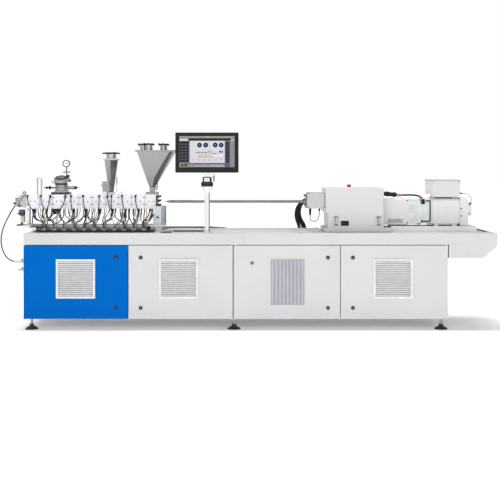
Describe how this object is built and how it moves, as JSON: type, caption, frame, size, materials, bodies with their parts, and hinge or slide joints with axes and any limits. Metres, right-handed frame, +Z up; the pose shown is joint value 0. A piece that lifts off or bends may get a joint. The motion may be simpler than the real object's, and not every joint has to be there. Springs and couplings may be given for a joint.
{
  "type": "laboratory twin-screw extruder",
  "caption": "Bench twin-screw compounding extruder on a closed cabinet, with its barrel unit drawn back off the screws, hoppers, drive, conduits and a swivelling control screen.",
  "frame": {"origin": "on the floor under the middle of the machine", "axes": "+X from the die to the motor, +Y away from the doors, +Z up"},
  "size_m": [4.132, 0.808, 1.63],
  "materials": {
    "frame_paint": "satin",
    "panel_grey": "satin",
    "door_blue": "satin",
    "grille_white": "matte",
    "black_steel": "matte",
    "foot_black": "matte",
    "bright_steel": "brushed",
    "screw_steel": "ground",
    "stainless": "brushed",
    "insulation_cover": "satin",
    "cast_grey": "painted",
    "motor_paint": "satin",
    "hood_paint": "satin",
    "black_plastic": "matte",
    "grey_plastic": "matte",
    "cable_black": "matte",
    "hose_grey": "matte",
    "screen": "gloss",
    "gauge": "gloss"
  },
  "bodies": {
    "machine": {"cabinet_base": "frame_paint", "cabinet_posts": "frame_paint", "cabinet_top_frame": "frame_paint", "cabinet_panels": "panel_grey", "bench_deck": "panel_grey", "end_bracket": "panel_grey", "levelling_feet": "foot_black", "guide_rails": "black_steel", "drive_cables": "cable_black", "gearbox_neck": "bright_steel", "gearbox_cover": "hood_paint", "cover_handles": "bright_steel", "coupling_lantern": "hood_paint", "torque_clutch": "cast_grey", "flange_plates": "cast_grey", "drive_motor": "motor_paint", "motor_fan_cover": "motor_paint", "motor_terminal_box": "motor_paint", "motor_plinth": "frame_paint", "junction_box": "grey_plastic", "conduits": "cable_black", "conduit_plate": "black_plastic", "monitor_post": "panel_grey", "water_valves": "bright_steel", "die_hose": "hose_grey"},
    "barrel_carriage": {"carriage_base": "black_steel", "carriage_runners": "black_plastic", "support_leg": "bright_steel", "cable_tray": "black_steel", "heater_plugs": "black_plastic", "heater_leads": "cable_black", "sensor_leads": "cable_black", "drain_valve": "cast_grey", "hopper_gate": "cast_grey", "cooling_pipe": "bright_steel", "pipe_arch": "bright_steel", "barrels": "bright_steel", "barrel_covers": "insulation_cover", "die_head": "bright_steel", "melt_sensor": "bright_steel", "vacuum_vent": "bright_steel", "vent_gauge": "gauge", "side_hopper": "stainless", "side_hopper_lid": "stainless", "main_hopper": "stainless", "main_hopper_lid": "stainless", "hopper_spigots": "stainless"},
    "monitor_head": {"monitor_swivel": "black_plastic", "monitor_housing": "grey_plastic", "monitor_screen": "screen"},
    "front_screw": {"screw_front": "screw_steel"},
    "back_screw": {"screw_back": "screw_steel"},
    "door_1_leaf": {"door_1": "door_blue", "door_1_grille": "grille_white"},
    "door_2_leaf": {"door_2": "panel_grey", "door_2_grille": "grille_white"},
    "door_3_leaf": {"door_3": "panel_grey", "door_3_grille": "panel_grey"},
    "door_4_leaf": {"door_4": "panel_grey", "door_4_grille": "grille_white"}
  },
  "joints": [
    {"name": "carriage_slide", "type": "slide", "parent": "machine", "child": "barrel_carriage", "axis": [1, 0, 0], "range_m": [0, 1.262]},
    {"name": "monitor_turn", "type": "hinge", "parent": "machine", "child": "monitor_head", "pos_m": [-0.356, -0.35, 1.2], "axis": [0, 0, 1], "range_deg": [-35, 35]},
    {"name": "front_screw_spin", "type": "hinge", "parent": "machine", "child": "front_screw", "pos_m": [0, -0.01192, 1.049], "axis": [1, 0, 0], "continuous": true},
    {"name": "back_screw_spin", "type": "hinge", "parent": "machine", "child": "back_screw", "pos_m": [0, 0.01192, 1.049], "axis": [1, 0, 0], "continuous": true},
    {"name": "door_1_hinge", "type": "hinge", "parent": "machine", "child": "door_1_leaf", "pos_m": [-1.861, -0.391, 0.3945], "axis": [0, 0, -1], "range_deg": [0, 110]},
    {"name": "door_2_hinge", "type": "hinge", "parent": "machine", "child": "door_2_leaf", "pos_m": [-0.152, -0.391, 0.3945], "axis": [0, 0, 1], "range_deg": [0, 85]},
    {"name": "door_3_hinge", "type": "hinge", "parent": "machine", "child": "door_3_leaf", "pos_m": [-0.124, -0.391, 0.3945], "axis": [0, 0, -1], "range_deg": [0, 85]},
    {"name": "door_4_hinge", "type": "hinge", "parent": "machine", "child": "door_4_leaf", "pos_m": [1.625, -0.391, 0.3945], "axis": [0, 0, 1], "range_deg": [0, 110]}
  ],
  "couplings": [
    {"joint": "back_screw_spin", "follows": "front_screw_spin", "ratio": 1}
  ]
}
